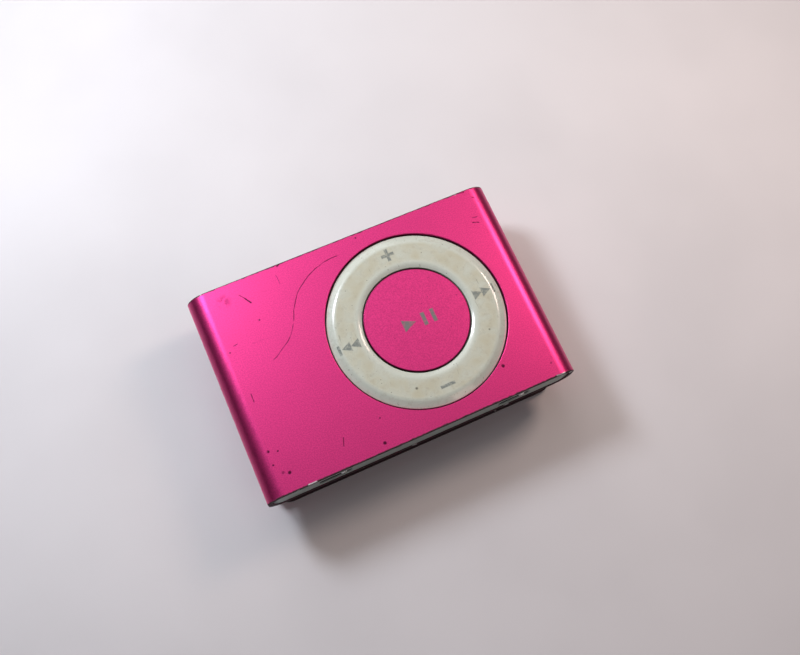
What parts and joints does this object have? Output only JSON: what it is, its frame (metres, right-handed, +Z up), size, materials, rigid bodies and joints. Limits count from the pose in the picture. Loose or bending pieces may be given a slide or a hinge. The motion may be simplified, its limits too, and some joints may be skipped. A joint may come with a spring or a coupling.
{
  "type": "digital audio player",
  "caption": "Small clip-on music player in an extruded metal sleeve, with a round control ring, play button, slide switches, headphone jack and a sprung back clip.",
  "frame": {"origin": "on the surface the clip rests on, under the middle of the player's box", "axes": "+X along the length towards the control ring, +Y across the width towards the headphone jack, +Z up through the front face"},
  "size_m": [0.0412, 0.027, 0.0105],
  "materials": {
    "anodised_pink": "bead-blasted, anodised pink, satin, worn at the edges",
    "cap_plastic": "grey moulded plastic, dulled and scuffed",
    "ring_plastic": "off-white moulded plastic, polished, yellowed",
    "plunger_plastic": "white moulded plastic",
    "black_plastic": "black moulded plastic",
    "knob_plastic": "dark grey moulded plastic with a polished tip",
    "spring_steel": "bright rolled stainless steel",
    "dome_steel": "bright stainless snap domes",
    "board_laminate": "green solder mask over glass laminate",
    "chip_epoxy": "black moulded epoxy",
    "crystal_can": "drawn metal can",
    "ceramic_chip": "tan ceramic with tinned ends",
    "cell_foil": "laminated aluminium pouch",
    "foam_tape": "black foam tape",
    "contact_brass": "gold-plated spring brass",
    "led_lens": "clear to milky moulded light pipe",
    "led_body": "white lamp body",
    "jaw_rubber": "black moulded rubber"
  },
  "bodies": {
    "player": {"shell": "anodised_pink", "top_end_cap": "cap_plastic", "bottom_end_cap": "cap_plastic", "top_retainer": "spring_steel", "bottom_retainer": "spring_steel", "retainer_screws": "spring_steel", "left_rail": "black_plastic", "right_rail": "black_plastic", "main_board": "board_laminate", "processor_chip": "chip_epoxy", "memory_chip": "chip_epoxy", "power_chip": "chip_epoxy", "crystal": "crystal_can", "passives": "ceramic_chip", "status_leds": "led_body", "top_light_pipe": "led_lens", "bottom_light_pipe": "led_lens", "battery_cell": "cell_foil", "battery_pad": "foam_tape", "battery_tabs": "crystal_can", "headphone_jack": "black_plastic", "jack_contacts": "contact_brass", "ring_domes": "dome_steel", "play_dome": "dome_steel", "power_switch_body": "black_plastic", "order_switch_body": "black_plastic", "clip_bracket": "spring_steel", "clip_rivets": "spring_steel"},
    "rocker": {"rocker_frame": "spring_steel"},
    "ring": {"control_ring": "ring_plastic"},
    "play": {"play_button": "anodised_pink", "button_plunger": "plunger_plastic"},
    "power_slider": {"power_switch_knob": "knob_plastic"},
    "order_slider": {"order_switch_knob": "knob_plastic"},
    "clip": {"clip_plate": "anodised_pink", "clip_jaw_strip": "jaw_rubber", "clip_hinge_pin": "spring_steel", "clip_spring": "spring_steel"}
  },
  "joints": [
    {"name": "play_press", "type": "slide", "parent": "player", "child": "play", "axis": [0, 0, -1], "range_m": [0, 0.0002], "stiffness_N_per_m": 4000, "springref_m": -0.0001, "deforming": ["play_dome"]},
    {"name": "ring_rock_volume", "type": "hinge", "parent": "player", "child": "rocker", "pos_m": [0.00486, 0, 0.0086], "axis": [1, 0, 0], "range_deg": [-1.2, 1.2], "stiffness_Nm_per_rad": 0.5, "deforming": ["ring_domes"]},
    {"name": "ring_rock_track", "type": "hinge", "parent": "rocker", "child": "ring", "pos_m": [0.00486, 0, 0.0086], "axis": [0, 1, 0], "range_deg": [-1.2, 1.2], "stiffness_Nm_per_rad": 0.5},
    {"name": "power_slide", "type": "slide", "parent": "player", "child": "power_slider", "axis": [1, 0, 0], "range_m": [-0.0022, 0]},
    {"name": "order_slide", "type": "slide", "parent": "player", "child": "order_slider", "axis": [1, 0, 0], "range_m": [-0.0022, 0]},
    {"name": "clip_hinge", "type": "hinge", "parent": "player", "child": "clip", "pos_m": [-0.0135, 0, 0.00235], "axis": [0, 1, 0], "range_deg": [0, 13], "stiffness_Nm_per_rad": 0.06, "springref_deg": -34.38, "deforming": ["clip_spring"]}
  ]
}
